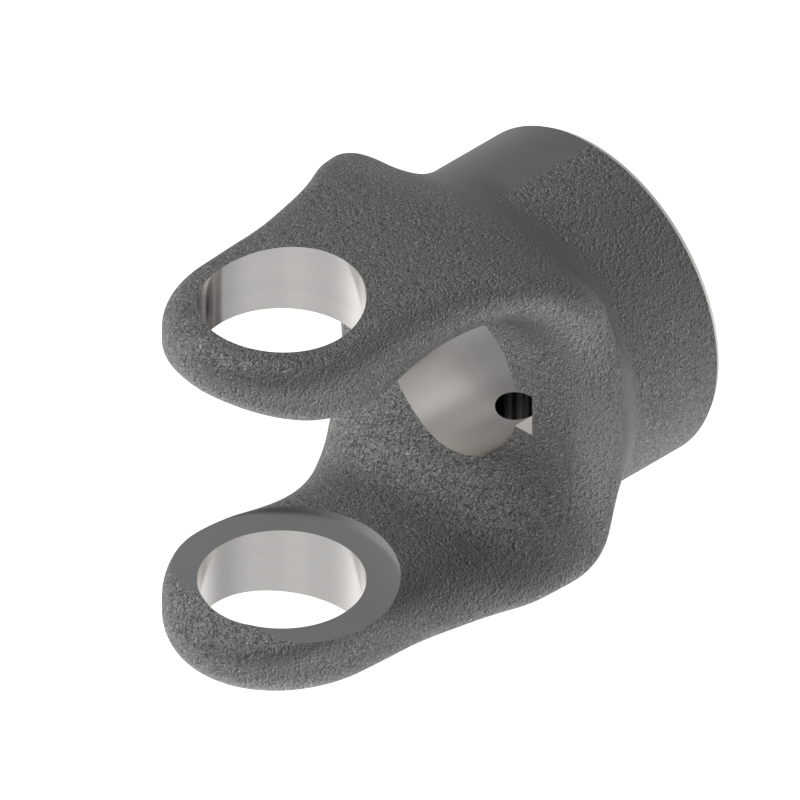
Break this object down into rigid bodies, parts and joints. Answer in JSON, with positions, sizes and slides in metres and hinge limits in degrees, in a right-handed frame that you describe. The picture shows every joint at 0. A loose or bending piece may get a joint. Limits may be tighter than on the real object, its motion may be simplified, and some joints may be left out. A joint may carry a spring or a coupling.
{
  "type": "forged end yoke",
  "caption": "Forged steel end yoke of a universal joint: forked ears with bearing-cup bores on a round hub with a keyed shaft bore and a set-screw hole.",
  "frame": {"origin": "centre of the joint, where the axis of the cross bores meets the axis of the shaft bore", "axes": "+Z along the cross bores, +X along the shaft bore towards the end of the hub, keyway on the -Y side"},
  "size_m": [0.1153, 0.0788, 0.0886],
  "materials": {
    "forged_steel": "dark grey as forged, with a fine pebbled skin; bores, inner ear faces and hub end machined bright"
  },
  "bodies": {
    "root": {"yoke": "forged_steel"}
  },
  "joints": []
}
